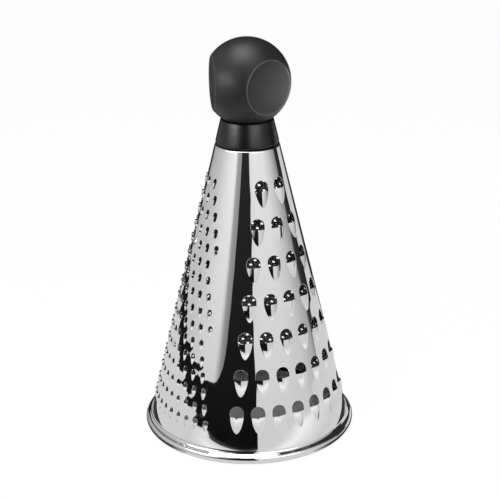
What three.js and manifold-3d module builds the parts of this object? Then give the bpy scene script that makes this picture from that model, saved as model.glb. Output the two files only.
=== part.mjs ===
// Cone grater: a punched steel cone with a rolled rim carries a collar and a round knob, and one
// screw from inside holds them together. Millimetres, +Z up the cone's axis, origin on the ground in
// the middle of the rim. The coarse teeth face -Y, the fine teeth and the rasp lie about a third of a
// turn to either side.
import * as THREE from 'three';
import { mergeVertices } from 'three/addons/utils/BufferGeometryUtils.js';
import Module from 'manifold-3d';

const wasm = await Module();
wasm.setup();

// Steel cone, by the outer face of its sheet
const SHEET = 0.5;
const STEEL_HEIGHT = 172.7;
const NECK_RADIUS = 18.4; // where the wall's line meets the top
const NECK_BEND = 1.0; // outer radius of the bend from the wall into the top flange
const FLANGE_HOLE = 4.0; // radius of the screw's hole in the top flange
const RIM_RADIUS = 62.5; // outermost edge of the rolled rim
const WALL_INSET = 2.3; // rim's edge to the wall's line, both at the ground
const BEAD_RADIUS = 2.5; // outside of the rolled rim
const RIM_FILLET = 1.2; // inner corner between wall and bead
const RIM_LAND = 1.1; // flat ring that the rim stands on
const CURL_END = -190; // degrees round the bead where the sheet's edge stops

// Zones of teeth, each a third of the wall. Pitches are measured on the steel.
const PLAIN_BAND = 6.0; // least plain steel between two zones
const FOOT_MARGIN = 9.0; // least plain steel below the last row
const COARSE_WIDTH = 8.2;
const COARSE_HOLE = 6.2; // hole above the cutting edge
const COARSE_TONGUE = 9.7; // raised tongue below it
const COARSE_RAISE = 1.1;
const COARSE_PITCH = 12.3;
const COARSE_ROW_PITCH = 21.4;
const COARSE_TOP = 22.5; // wall's top edge to the first cutting edge
const COARSE_FIRST_COUNT = 2; // teeth in the first coarse row, one more in each next row
const COARSE_TURN = -4.5; // degrees from -Y to the line that the rows are laid out from
const COARSE_SHIFT = -2.6; // along a row from that line to the row's middle
const TONGUE_BLUNT = 1.16; // powers that draw the tongues' half ovals in to a rounded point
const TONGUE_TAPER = 1.43;
const FINE_WIDTH = 3.2;
const FINE_HOLE = 2.6;
const FINE_TONGUE = 4.2;
const FINE_RAISE = 1.1;
const FINE_PITCH = 6.8;
const FINE_ROW_PITCH = 9.2;
const FINE_TOP = 20.0;
const FINE_TURN = -120;
const FINE_SHIFT = -1.5;
const FINE_FIRST_COUNT = 4; // teeth in the first fine row, one more in each next row
const FINE_STEP_ROWS = 5; // after so many rows the field draws in by a tooth on each side
const FINE_STEPS = 2;
const RASP_HOLE = 1.0; // radius of a rasp spike's hole
const RASP_FOOT = 2.0; // radius of its raised foot
const RASP_RAISE = 0.75;
const RASP_PITCH = 11.0;
const RASP_ROW_PITCH = 11.4;
const RASP_TOP = 20.0;
const RASP_TURN = 120;

// Knob and collar
const FIT = 0.3; // gap between pieces that seat on each other
const COLLAR_HEIGHT = 14.2;
const COLLAR_TOP_RADIUS = 15.05;
const COLLAR_EDGE = 0.5; // bevel of its upper and lower edges
const BALL_RADIUS = 24.9;
const BALL_NEST = 3.9; // how deep the ball sits in the dished collar
const FLAT_DEPTH = 5.2; // height of the cap that each flat takes off the ball
const FLAT_COUNT = 3;
const KNOB_TURN = -7.5; // degrees from the coarse zone's middle to the nearest flat
const COVER_WALL = 3.0; // soft cover over the hard core
const SPIGOT_RADIUS = 8.0;

// Fixing
const SCREW_RADIUS = 2.5;
const SCREW_LENGTH = 29.0; // under the head
const SCREW_HEAD_RADIUS = 4.6;
const SCREW_HEAD_HEIGHT = 3.2;
const CROSS_WIDTH = 1.0; // cross recess in the head
const CROSS_LENGTH = 5.0;
const CROSS_DEPTH = 1.8;
const WASHER_RADIUS = 5.0;
const WASHER_THICKNESS = 1.0;
const SPRING_WASHER_WALL = 1.6;
const SPRING_WASHER_THICKNESS = 1.2;
const SPRING_WASHER_SPLIT = 1.0;
const INSERT_WALL = 1.4;
const INSERT_LENGTH = 11.0;
const INSERT_GROOVE = 0.5; // depth of the groove that anchors it
const INSERT_GROOVE_WIDTH = 2.0;
const PLUG_DISC = 3.0;
const PLUG_SKIRT = 2.0; // wall of the plug's skirt
const PLUG_DEPTH = 9.0;
const PLUG_BOSS_RADIUS = 6.5;
const PLUG_BOSS_DEPTH = 6.0;
const PLUG_BEVEL = 1.2;

// Facets
const RIM_SIDES = 42;
const NECK_SIDES = 32;
const ROUND_SIDES = 32; // knob and collar
const HIDDEN_SIDES = 16; // inner pieces
const SMALL_SIDES = 16; // screw, washers and insert
const BAND_LINES = 3; // lines down the plain steel between two zones

const TURN = Math.PI * 2;
const DEGREE = Math.PI / 180;
const FLIPPED = 1e6; // cost that keeps a triangle from facing inward

const STEEL = new THREE.MeshStandardMaterial({ color: 0xd8d9da, roughness: 0.08, metalness: 1.0 });
const COLLAR_BLACK = new THREE.MeshStandardMaterial({ color: 0x161617, roughness: 0.5, metalness: 0.0 });
const SOFT_BLACK = new THREE.MeshStandardMaterial({ color: 0x2a2a2c, roughness: 0.6, metalness: 0.0 });
const CORE_GREY = new THREE.MeshStandardMaterial({ color: 0x3a3a3c, roughness: 0.5, metalness: 0.0 });
const BRASS = new THREE.MeshStandardMaterial({ color: 0xb89a4a, roughness: 0.35, metalness: 1.0 });
const ZINC = new THREE.MeshStandardMaterial({ color: 0xb4b7ba, roughness: 0.35, metalness: 1.0 });

// Wall's line: radius of the outer face at a height, and its lean from the axis
const footRadius = RIM_RADIUS - WALL_INSET;
const slope = (footRadius - NECK_RADIUS) / STEEL_HEIGHT;
const lean = Math.atan(slope);
const wallRadius = (z) => footRadius - slope * z;

// Heights of the stack, from the steel's top
const collarFoot = STEEL_HEIGHT + FIT;
const collarTop = collarFoot + COLLAR_HEIGHT;
const ballZ = collarTop - BALL_NEST + BALL_RADIUS;
const plugTop = STEEL_HEIGHT - SHEET - FIT;
const washerTop = plugTop - PLUG_BOSS_DEPTH - FIT;
const springTop = washerTop - WASHER_THICKNESS - FIT;
const headTop = springTop - SPRING_WASHER_THICKNESS - FIT;
const screwTip = headTop + SCREW_LENGTH;
const insertRadius = SCREW_RADIUS + FIT + INSERT_WALL;
const screwHole = SCREW_RADIUS + FIT;

// Point at an angle round the axis, counted to the right of -Y as seen from outside
function around(angle, radius, z) {
  return new THREE.Vector3(radius * Math.sin(angle), -radius * Math.cos(angle), z);
}

// Point on the wall, or raised from it along the wall's normal
function onWall(angle, z, raise) {
  return around(angle, wallRadius(z) + raise * Math.cos(lean), z + raise * Math.sin(lean));
}

// Sheet metal as a net of triangles. Each corner is a pair of points, on the outer and the inner face,
// and the body's edges are closed wherever the net is open.
class SheetNet {
  corners = [];
  triangles = [];

  corner(angle, z, outer, inner) {
    this.corners.push({ angle, z, outer, inner });
    return this.corners.length - 1;
  }

  wallCorner(angle, z, raise = 0) {
    return this.corner(angle, z, onWall(angle, z, raise), onWall(angle, z, raise - SHEET));
  }

  // Ring of corners, from the radius and height of both faces
  ring(section, sides, start) {
    const corners = [];
    for (let k = 0; k < sides; k++) {
      const angle = start + (k * TURN) / sides;
      const outer = around(angle, section.outer.x, section.outer.y);
      const inner = around(angle, section.inner.x, section.inner.y);
      corners.push(this.corner(angle, section.outer.y, outer, inner));
    }
    return [...corners, corners[0]];
  }

  // Twice the area of a triangle on the unrolled wall, positive where it faces out
  facing(a, b, c) {
    const [p, q, r] = [a, b, c].map((k) => this.corners[k]);
    const offset = (other) => Math.atan2(Math.sin(other.angle - p.angle), Math.cos(other.angle - p.angle));
    return offset(q) * (r.z - p.z) - offset(r) * (q.z - p.z);
  }

  span(a, b) {
    return this.corners[a].outer.distanceTo(this.corners[b].outer);
  }

  // Fills the strip between two chains, with the far one to the left of the near one's direction, by
  // the run of triangles whose cross edges are shortest in all
  zip(near, far) {
    const best = near.map(() => far.map(() => ({ cost: Infinity })));
    best[0][0].cost = 0;
    for (let i = 0; i < near.length; i++) {
      for (let j = 0; j < far.length; j++) {
        const reach = (triangle, row, column) => {
          const flipped = this.facing(...triangle) > 0 ? 0 : FLIPPED;
          const cost = best[i][j].cost + this.span(near[row], far[column]) + flipped;
          if (cost < best[row][column].cost) {
            best[row][column] = { cost, triangle, from: best[i][j] };
          }
        };
        if (i < near.length - 1) {
          reach([near[i], near[i + 1], far[j]], i + 1, j);
        }
        if (j < far.length - 1) {
          reach([near[i], far[j + 1], far[j]], i, j + 1);
        }
      }
    }
    for (let at = best[near.length - 1][far.length - 1]; at.triangle; at = at.from) {
      this.triangles.push(at.triangle);
    }
  }

  // Fills the strip between two chains of as many corners
  band(near, far) {
    for (let k = 0; k < near.length - 1; k++) {
      this.triangles.push([near[k], near[k + 1], far[k + 1]], [near[k], far[k + 1], far[k]]);
    }
  }

  fan(chain, peak) {
    for (let k = 0; k < chain.length - 1; k++) {
      this.triangles.push([chain[k], chain[k + 1], peak]);
    }
  }

  geometry() {
    const points = this.corners.flatMap(({ outer, inner }) => [...outer.toArray(), ...inner.toArray()]);
    const used = new Set(this.triangles.flatMap(([a, b, c]) => [`${a} ${b}`, `${b} ${c}`, `${c} ${a}`]));
    const index = [];
    for (const [a, b, c] of this.triangles) {
      index.push(2 * a, 2 * b, 2 * c, 2 * a + 1, 2 * c + 1, 2 * b + 1);
      for (const [from, to] of [[a, b], [b, c], [c, a]]) {
        if (!used.has(`${to} ${from}`)) {
          index.push(2 * to, 2 * from, 2 * from + 1, 2 * to, 2 * from + 1, 2 * to + 1);
        }
      }
    }
    const geometry = new THREE.BufferGeometry();
    geometry.setAttribute('position', new THREE.Float32BufferAttribute(points, 3));
    geometry.setIndex(index);
    return geometry;
  }
}

// Numbers from first to last in equal steps, both ends included
function steps(first, last, count) {
  return Array.from({ length: count + 1 }, (_, k) => first + ((last - first) * k) / count);
}

// Corner of the net beside a place on the wall: x along the round, y up the wall, both on the steel
function placeOnWall(net, angle, z, x, y, raise) {
  const height = z + y * Math.cos(lean);
  return net.wallCorner(angle + x / wallRadius(height), height, raise);
}

// Grating tooth: an arched hole, and below its straight edge a tongue pressed out of the sheet.
// Returns the chains of corners above and below it, left to right.
function punchTooth(net, tooth, angle, z) {
  const half = tooth.width / 2;
  const place = (x, y, raise) => placeOnWall(net, angle, z, x, y, raise);
  const left = place(-half, 0, 0);
  const right = place(half, 0, 0);
  const arch = steps(Math.PI, 0, tooth.archSteps).slice(1, -1);
  const above = arch.map((t) => place(half * Math.cos(t), tooth.hole * Math.sin(t), 0));
  const rings = steps(1, 0, tooth.rings).slice(0, -1).map((share) => {
    const turn = steps(Math.PI, TURN, tooth.tongueSteps);
    const raise = tooth.raise * (1 - share * share);
    const inside = share < 1 ? turn : turn.slice(1, -1);
    const points = inside.map((t) => {
      const x = half * Math.sign(Math.cos(t)) * Math.abs(Math.cos(t)) ** TONGUE_BLUNT;
      const y = -tooth.tongue * Math.abs(Math.sin(t)) ** TONGUE_TAPER;
      return place(share * x, share * y, raise);
    });
    return share < 1 ? points : [left, ...points, right];
  });
  for (let k = 0; k < rings.length - 1; k++) {
    net.band(rings[k], rings[k + 1]);
  }
  net.fan(rings[rings.length - 1], place(0, 0, tooth.raise));
  return { above: [left, ...above, right], below: rings[0] };
}

// Rasp spike: a small three-cornered hole in the middle of a foot, its edge burst outward
function punchSpike(net, spike, angle, z) {
  const loop = (radius, raise) => {
    const points = [0, 1, 2].map((k) => {
      const t = (k * TURN) / 3 + Math.PI / 2;
      return placeOnWall(net, angle, z, radius * Math.cos(t), radius * Math.sin(t), raise);
    });
    return [...points, points[0]];
  };
  const foot = loop(spike.foot, 0);
  net.band(foot, loop(spike.hole, spike.raise));
  const [top, left, right] = foot;
  return { above: [left, top, right], below: [left, right] };
}

// Zone of rows, as many as fit on the wall, with no more teeth in a row than fit in a third of the turn.
// Returns the zone's outline as four chains.
function punchZone(net, zone) {
  const wallLength = STEEL_HEIGHT / Math.cos(lean);
  const rowCount = Math.floor((wallLength - zone.top - zone.reach - FOOT_MARGIN) / zone.rowPitch) + 1;
  const rows = Array.from({ length: rowCount }, (_, row) => {
    const z = STEEL_HEIGHT - (zone.top + row * zone.rowPitch) * Math.cos(lean);
    const room = (wallRadius(z) * TURN) / 3 - PLAIN_BAND - zone.width;
    const count = zone.count(row, Math.floor(room / zone.pitch) + 1);
    const teeth = Array.from({ length: count }, (_, k) => {
      const offset = zone.shift + (k - (count - 1) / 2) * zone.pitch;
      return zone.punch(net, zone, zone.angle + offset / wallRadius(z), z);
    });
    return { above: teeth.flatMap((t) => t.above), below: teeth.flatMap((t) => t.below) };
  });
  for (let k = 0; k < rows.length - 1; k++) {
    net.zip(rows[k + 1].above, rows[k].below);
  }
  return {
    top: rows[0].above,
    bottom: rows[rows.length - 1].below,
    left: rows.map((row) => row.above[0]),
    right: rows.map((row) => row.above[row.above.length - 1]),
  };
}

const coarseZone = {
  punch: punchTooth,
  angle: COARSE_TURN * DEGREE,
  shift: COARSE_SHIFT,
  width: COARSE_WIDTH,
  hole: COARSE_HOLE,
  tongue: COARSE_TONGUE,
  raise: COARSE_RAISE,
  reach: COARSE_TONGUE,
  pitch: COARSE_PITCH,
  rowPitch: COARSE_ROW_PITCH,
  top: COARSE_TOP,
  count: (row, room) => Math.min(COARSE_FIRST_COUNT + row, room),
  archSteps: 6,
  tongueSteps: 6,
  rings: 2,
};
const fineZone = {
  punch: punchTooth,
  angle: FINE_TURN * DEGREE,
  shift: FINE_SHIFT,
  width: FINE_WIDTH,
  hole: FINE_HOLE,
  tongue: FINE_TONGUE,
  raise: FINE_RAISE,
  reach: FINE_TONGUE,
  pitch: FINE_PITCH,
  rowPitch: FINE_ROW_PITCH,
  top: FINE_TOP,
  count: (row, room) => {
    const drawnIn = 2 * Math.min(FINE_STEPS, Math.floor(row / FINE_STEP_ROWS));
    return Math.min(FINE_FIRST_COUNT + row - drawnIn, room);
  },
  archSteps: 2,
  tongueSteps: 2,
  rings: 1,
};
const raspZone = {
  punch: punchSpike,
  angle: RASP_TURN * DEGREE,
  shift: 0,
  width: 2 * RASP_FOOT,
  hole: RASP_HOLE,
  foot: RASP_FOOT,
  raise: RASP_RAISE,
  reach: RASP_FOOT,
  pitch: RASP_PITCH,
  rowPitch: RASP_ROW_PITCH,
  top: RASP_TOP,
  count: (row, room) => room - ((room + row) % 2), // odd and even in turn, so the rows are staggered
};

// Section of the rim from the wall's foot: the inner corner, over the bead, the land it stands on,
// and the sheet's curled-in edge
function rimSection() {
  const bead = new THREE.Vector2(RIM_RADIUS - BEAD_RADIUS, BEAD_RADIUS);
  // The fillet's centre lies off the wall by its radius, and off the bead's centre by both radii
  const off = footRadius + RIM_FILLET / Math.cos(lean) - slope * bead.y - bead.x;
  const reach = BEAD_RADIUS + RIM_FILLET;
  const a = 1 + slope * slope;
  const rise = (slope * off + Math.sqrt((slope * off) ** 2 - a * (off * off - reach * reach))) / a;
  const fillet = new THREE.Vector2(bead.x + off - slope * rise, bead.y + rise);
  const meet = Math.atan2(rise, fillet.x - bead.x);
  const polar = (centre, radius, angle) =>
    new THREE.Vector2(centre.x + radius * Math.cos(angle), centre.y + radius * Math.sin(angle));
  const corner = steps(Math.PI + lean, Math.PI + meet, 2).map((angle) => ({
    outer: polar(fillet, RIM_FILLET, angle),
    inner: polar(fillet, RIM_FILLET + SHEET, angle),
  }));
  const onBead = (angle) => ({
    outer: polar(bead, BEAD_RADIUS, angle),
    inner: polar(bead, BEAD_RADIUS - SHEET, angle),
  });
  const landEnd = Math.acos(RIM_LAND / 2 / BEAD_RADIUS);
  const over = steps(meet, -landEnd, 4).slice(1, -1).map(onBead);
  const land = [RIM_LAND / 2, -RIM_LAND / 2].map((x) => ({
    outer: new THREE.Vector2(bead.x + x, 0),
    inner: new THREE.Vector2(bead.x + x, SHEET),
  }));
  return [...corner, ...over, ...land, onBead(CURL_END * DEGREE)];
}

// Section of the top from the foot of the plug inside: the wall, the bend, then the flange to the
// screw's hole
function neckSection() {
  const foot = plugTop - PLUG_DEPTH - FIT;
  const face = (raise) => new THREE.Vector2(
    wallRadius(foot) + raise * Math.cos(lean), foot + raise * Math.sin(lean));
  const z = STEEL_HEIGHT - NECK_BEND;
  const radius = wallRadius(z) - NECK_BEND / Math.cos(lean);
  const bend = steps(lean, Math.PI / 2, 2).map((angle) => {
    const point = (size) => new THREE.Vector2(radius + size * Math.cos(angle), z + size * Math.sin(angle));
    return { outer: point(NECK_BEND), inner: point(NECK_BEND - SHEET) };
  });
  const hole = {
    outer: new THREE.Vector2(FLANGE_HOLE, STEEL_HEIGHT),
    inner: new THREE.Vector2(FLANGE_HOLE, STEEL_HEIGHT - SHEET),
  };
  return [{ outer: face(0), inner: face(-SHEET) }, ...bend, hole];
}

// Plain steel between two zones, ruled by lines down the wall. Returns the lines' upper and lower ends.
function plainBand(net, west, east) {
  const ends = (chain) => [chain[0], chain[chain.length - 1]].map((k) => net.corners[k]);
  const [westTop, westBottom] = ends(west);
  const [eastTop, eastBottom] = ends(east);
  const between = (a, b, share) => {
    const gap = (((b.angle - a.angle) % TURN) + TURN) % TURN;
    return net.wallCorner(a.angle + gap * share, (a.z + b.z) / 2);
  };
  const lines = steps(0, 1, BAND_LINES + 1).slice(1, -1).map((share) => [
    between(westTop, eastTop, share),
    between(westBottom, eastBottom, share),
  ]);
  const chains = [west, ...lines, east];
  for (let k = 0; k < chains.length - 1; k++) {
    net.zip(chains[k], chains[k + 1]);
  }
  return { top: lines.map((line) => line[0]), bottom: lines.map((line) => line[1]) };
}

function graterCone() {
  const net = new SheetNet();
  const zones = [fineZone, coarseZone, raspZone].map((zone) => punchZone(net, zone));
  const top = [];
  const bottom = [];
  zones.forEach((zone, k) => {
    const plain = plainBand(net, zone.right, zones[(k + 1) % zones.length].left);
    top.push(...zone.top, ...plain.top);
    bottom.push(...zone.bottom, ...plain.bottom);
  });
  const start = net.corners[top[0]].angle;
  const neck = neckSection().map((section) => net.ring(section, NECK_SIDES, start));
  net.zip([...top, top[0]], neck[0]);
  for (let k = 0; k < neck.length - 1; k++) {
    net.band(neck[k], neck[k + 1]);
  }
  const rim = rimSection().map((section) => net.ring(section, RIM_SIDES, start));
  net.zip(rim[0], [...bottom, bottom[0]]);
  for (let k = 0; k < rim.length - 1; k++) {
    net.band(rim[k + 1], rim[k]);
  }
  return net.geometry();
}

// Closed geometry to a solid for joining and cutting, and back
function solid(geometry) {
  const bare = geometry.clone();
  bare.deleteAttribute('normal');
  bare.deleteAttribute('uv');
  const merged = mergeVertices(bare, 1e-4);
  const index = [];
  for (let k = 0; k < merged.index.count; k += 3) {
    const [a, b, c] = [0, 1, 2].map((n) => merged.index.getX(k + n));
    if (a !== b && b !== c && c !== a) {
      index.push(a, b, c);
    }
  }
  const vertProperties = Float32Array.from(merged.attributes.position.array);
  const mesh = new wasm.Mesh({ numProp: 3, vertProperties, triVerts: Uint32Array.from(index) });
  return new wasm.Manifold(mesh);
}

function toGeometry(body) {
  const mesh = body.getMesh();
  const geometry = new THREE.BufferGeometry();
  geometry.setAttribute('position', new THREE.Float32BufferAttribute(mesh.vertProperties, 3));
  geometry.setIndex(Array.from(mesh.triVerts));
  return geometry;
}

// Solid of revolution from radius and height pairs, listed upward on the outside and down the inside
function turned(profile, sides) {
  const closed = [...profile, profile[0]].map(([radius, z]) => new THREE.Vector2(radius, z));
  return solid(new THREE.LatheGeometry(closed, sides).rotateX(Math.PI / 2));
}

function block(x, y, z, centre) {
  return solid(new THREE.BoxGeometry(x, y, z).translate(...centre));
}

// Ball with its flats, shrunk evenly by a wall
function flattedBall(shrink, sides) {
  const radius = BALL_RADIUS - shrink;
  let ball = solid(new THREE.SphereGeometry(radius, sides, sides / 2).rotateX(Math.PI / 2));
  for (let k = 0; k < FLAT_COUNT; k++) {
    const angle = KNOB_TURN * DEGREE + (k * TURN) / FLAT_COUNT;
    const depth = 2 * FLAT_DEPTH;
    const cut = new THREE.BoxGeometry(2 * BALL_RADIUS, depth, 2 * BALL_RADIUS);
    cut.translate(0, -(radius - FLAT_DEPTH + depth / 2), 0).rotateZ(angle);
    ball = ball.subtract(solid(cut));
  }
  return ball.translate([0, 0, ballZ]);
}

function rod(radius, bottom, top, sides = HIDDEN_SIDES) {
  return turned([[0, bottom], [radius, bottom], [radius, top], [0, top]], sides);
}

function knobCover() {
  const mouth = rod(SPIGOT_RADIUS + FIT, collarFoot, ballZ);
  return flattedBall(0, ROUND_SIDES).subtract(flattedBall(COVER_WALL, HIDDEN_SIDES)).subtract(mouth);
}

function knobCore() {
  const insertBore = rod(insertRadius + FIT, collarFoot - FIT, collarFoot + INSERT_LENGTH + 2 * FIT);
  const screwBore = rod(screwHole, collarFoot - FIT, screwTip + SCREW_RADIUS);
  return flattedBall(COVER_WALL + FIT, HIDDEN_SIDES)
    .add(rod(SPIGOT_RADIUS, collarFoot, ballZ))
    .subtract(insertBore)
    .subtract(screwBore);
}

function collar() {
  const bore = SPIGOT_RADIUS + FIT;
  const body = turned([
    [bore, collarFoot],
    [NECK_RADIUS - COLLAR_EDGE, collarFoot],
    [NECK_RADIUS, collarFoot + COLLAR_EDGE],
    [COLLAR_TOP_RADIUS, collarTop - COLLAR_EDGE],
    [COLLAR_TOP_RADIUS - COLLAR_EDGE, collarTop],
    [bore, collarTop],
  ], ROUND_SIDES);
  const dish = new THREE.SphereGeometry(BALL_RADIUS + FIT, ROUND_SIDES, ROUND_SIDES / 2);
  return body.subtract(solid(dish.rotateX(Math.PI / 2).translate(0, 0, ballZ)));
}

function threadedInsert() {
  const bottom = collarFoot + FIT;
  const top = bottom + INSERT_LENGTH;
  const grooveBottom = (bottom + top - INSERT_GROOVE_WIDTH) / 2;
  return turned([
    [screwHole, bottom],
    [insertRadius, bottom],
    [insertRadius, grooveBottom],
    [insertRadius - INSERT_GROOVE, grooveBottom],
    [insertRadius - INSERT_GROOVE, grooveBottom + INSERT_GROOVE_WIDTH],
    [insertRadius, grooveBottom + INSERT_GROOVE_WIDTH],
    [insertRadius, top],
    [screwHole, top],
  ], SMALL_SIDES);
}

function clampPlug() {
  const inside = (z) => wallRadius(z) - (SHEET + FIT) / Math.cos(lean);
  const bottom = plugTop - PLUG_DEPTH;
  const discBottom = plugTop - PLUG_DISC;
  return turned([
    [screwHole, plugTop - PLUG_BOSS_DEPTH],
    [PLUG_BOSS_RADIUS, plugTop - PLUG_BOSS_DEPTH],
    [PLUG_BOSS_RADIUS, discBottom],
    [inside(discBottom) - PLUG_SKIRT, discBottom],
    [inside(bottom) - PLUG_SKIRT, bottom],
    [inside(bottom), bottom],
    [inside(plugTop - PLUG_BEVEL), plugTop - PLUG_BEVEL],
    [inside(plugTop) - PLUG_BEVEL, plugTop],
    [screwHole, plugTop],
  ], HIDDEN_SIDES);
}

function flatWasher() {
  const bottom = washerTop - WASHER_THICKNESS;
  return turned([
    [screwHole, bottom],
    [WASHER_RADIUS, bottom],
    [WASHER_RADIUS, washerTop],
    [screwHole, washerTop],
  ], SMALL_SIDES);
}

function springWasher() {
  const bottom = springTop - SPRING_WASHER_THICKNESS;
  const radius = screwHole + SPRING_WASHER_WALL;
  const ring = turned([
    [screwHole, bottom],
    [radius, bottom],
    [radius, springTop],
    [screwHole, springTop],
  ], SMALL_SIDES);
  const split = block(2 * radius, SPRING_WASHER_SPLIT, 2 * SPRING_WASHER_THICKNESS, [radius, 0, springTop]);
  return ring.subtract(split);
}

function fixingScrew() {
  const bottom = headTop - SCREW_HEAD_HEIGHT;
  const crown = SCREW_HEAD_HEIGHT / 2; // the head's rim is upright for half its height, then domed
  const dome = steps(Math.PI / 2, 0, 3).map((t) => [
    SCREW_HEAD_RADIUS - crown + crown * Math.cos(t),
    bottom + crown - crown * Math.sin(t),
  ]);
  const body = turned([
    [0, bottom],
    ...dome,
    [SCREW_HEAD_RADIUS, headTop],
    [SCREW_RADIUS, headTop],
    [SCREW_RADIUS, screwTip - SCREW_RADIUS / 2],
    [SCREW_RADIUS / 2, screwTip],
    [0, screwTip],
  ], SMALL_SIDES);
  const cross = block(CROSS_LENGTH, CROSS_WIDTH, 2 * CROSS_DEPTH, [0, 0, bottom])
    .add(block(CROSS_WIDTH, CROSS_LENGTH, 2 * CROSS_DEPTH, [0, 0, bottom]));
  return body.subtract(cross);
}

const grater = new THREE.Group();

function addPiece(name, geometry, material) {
  const mesh = new THREE.Mesh(geometry, material);
  mesh.name = name;
  grater.add(mesh);
}

addPiece('grater_cone', graterCone(), STEEL);
addPiece('collar', toGeometry(collar()), COLLAR_BLACK);
addPiece('knob_cover', toGeometry(knobCover()), SOFT_BLACK);
addPiece('knob_core', toGeometry(knobCore()), CORE_GREY);
addPiece('threaded_insert', toGeometry(threadedInsert()), BRASS);
addPiece('clamp_plug', toGeometry(clampPlug()), CORE_GREY);
addPiece('flat_washer', toGeometry(flatWasher()), ZINC);
addPiece('spring_washer', toGeometry(springWasher()), ZINC);
addPiece('fixing_screw', toGeometry(fixingScrew()), ZINC);

export default grater;
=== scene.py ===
"""Cone grater in a white studio: mirror-polished punched steel, a grained collar and a soft-touch knob."""

import math

import bmesh
import bpy
import numpy as np
from mathutils import Matrix, Vector
from mathutils.geometry import delaunay_2d_cdt

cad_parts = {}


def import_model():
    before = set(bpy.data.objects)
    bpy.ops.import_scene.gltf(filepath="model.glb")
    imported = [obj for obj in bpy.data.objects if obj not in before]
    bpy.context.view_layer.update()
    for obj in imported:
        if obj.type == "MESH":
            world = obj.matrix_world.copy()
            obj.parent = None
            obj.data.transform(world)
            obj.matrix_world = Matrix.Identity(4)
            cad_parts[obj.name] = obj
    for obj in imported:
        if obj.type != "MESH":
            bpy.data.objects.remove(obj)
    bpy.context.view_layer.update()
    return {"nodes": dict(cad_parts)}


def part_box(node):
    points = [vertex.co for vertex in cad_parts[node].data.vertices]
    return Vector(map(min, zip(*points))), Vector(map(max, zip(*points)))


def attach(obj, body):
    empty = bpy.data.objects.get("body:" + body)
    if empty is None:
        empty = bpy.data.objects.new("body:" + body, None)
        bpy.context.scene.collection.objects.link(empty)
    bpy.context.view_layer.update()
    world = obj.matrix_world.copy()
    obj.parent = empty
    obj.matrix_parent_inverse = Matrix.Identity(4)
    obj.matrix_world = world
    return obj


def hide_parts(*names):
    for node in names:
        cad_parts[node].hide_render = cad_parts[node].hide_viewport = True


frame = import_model()

MM = 0.001
TURN = 2 * math.pi
BODY = "root"

# Steel cone, by the outer face of its sheet, in millimetres
SHEET = 0.5
NECK_RADIUS = 18.4
NECK_BEND = 1.0
FLANGE_HOLE = 4.0
RIM_RADIUS = 62.5
WALL_INSET = 2.3
BEAD_RADIUS = 2.5
RIM_FILLET = 3.0
RIM_LAND = 1.1
CURL_END = math.radians(-190)
PLAIN_BAND = 6.0
FOOT_MARGIN = 9.0
BULGE_DROP = 0.35  # share of a tongue from its cutting edge down to the middle of its bulge
FINE_BLOCK = 5  # rows of fine teeth before they draw in
RASP_HOLE = 1.05
RASP_FOOT = 1.65
RASP_RAISE = 0.8
RASP_PITCH = 5.8
RASP_ROW_PITCH = 3.4
RASP_TOP = 18.0

# Knob, collar and fixing, in millimetres
FIT = 0.3
COLLAR_TOP_RADIUS = 15.05
BALL_NEST = 3.9
FLAT_DEPTH = 5.2
FLAT_COUNT = 3
KNOB_TURN = math.radians(-7.5)
FLAT_EDGE = 0.42
FLAT_HOLLOW = 0.8
COVER_WALL = 3.0
SPIGOT_RADIUS = 8.0
COLLAR_EDGE = 0.45
COLLAR_FOOT_EDGE = 2.0
SCREW_HOLE = 2.8
PLUG_BOSS_RADIUS = 6.5
PLUG_BOSS_DEPTH = 6.0
PLUG_DISC = 3.0
PLUG_SKIRT = 2.0
SPRING_SPLIT = 1.0
WASHER_EDGE = 0.18
CARRIED_EDGE = 0.15
WELD_REACH = 0.001

# Camera, as the photograph was taken: millimetres and degrees
VIEW_AZIMUTH = -45.4
VIEW_DISTANCE = 763.8
VIEW_HEIGHT = 396.3
VIEW_PITCH = 20.709
VIEW_ROLL = -0.407
VIEW_YAW = 0.084
LENS = 100.79
SENSOR = 36

# Fineness of the meshes
WALL_SIDES = 180
WALL_ROWS = 90
FLAT_SCALE = 40.0  # millimetres for a radian of the wall where it is laid flat
TOOTH_CLEAR = 0.7  # millimetres round a tooth without points of the wall's grid
FILLET_STEPS = 12
BEAD_STEPS = 22
CURL_STEPS = 12
BEND_STEPS = 6
COLLAR_SIDES = 144
DISH_STEPS = 14
PLUG_SIDES = 96
WASHER_SIDES = 64
BALL_SIDES = 144
BALL_ROWS = 96
FLAT_EDGE_STEPS = 6
FLAT_RINGS = 9
SHARP_ANGLE = math.radians(50)

# Studio: levels of light, and sizes in millimetres
AMBIENT = 0.7
REFLECTED_LEVEL = 0.68
FLOOR_GLOW = 0.92
FLOOR_GREY = 0.85
FLOOR_REACH = 6000
FLOOR_LIFT = 0.05
CARD_STEPS = 72
CARD_BEND = 225
CARD_TOP = 800
KNOB_AIM = 208
SPOT_SPREAD = 1.1  # the spots' cone against the ball's
SPOT_BLEND = 0.3
SPOT_SOFTNESS = 0.1  # a spot's radius against its distance

steel_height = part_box("grater_cone")[1].z / MM
foot_radius = RIM_RADIUS - WALL_INSET
slope = (foot_radius - NECK_RADIUS) / steel_height
lean = math.atan(slope)


def wall_radius(z):
    """Radius of the wall's outer face at a height."""
    return foot_radius - slope * z


def around(angle, radius, z):
    """Points at angles round the axis, counted to the right of -Y as seen from outside."""
    return np.stack(np.broadcast_arrays(radius * np.sin(angle), -radius * np.cos(angle), z), -1)


def wall_frame(angle):
    """Directions round the wall, up it and out of it, at each angle."""
    side = around(angle + math.pi / 2, 1.0, 0.0)
    out = around(angle, math.cos(lean), math.sin(lean))
    up = around(angle, -math.sin(lean), math.cos(lean))
    return side, up, out


# Sheet metal


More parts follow.
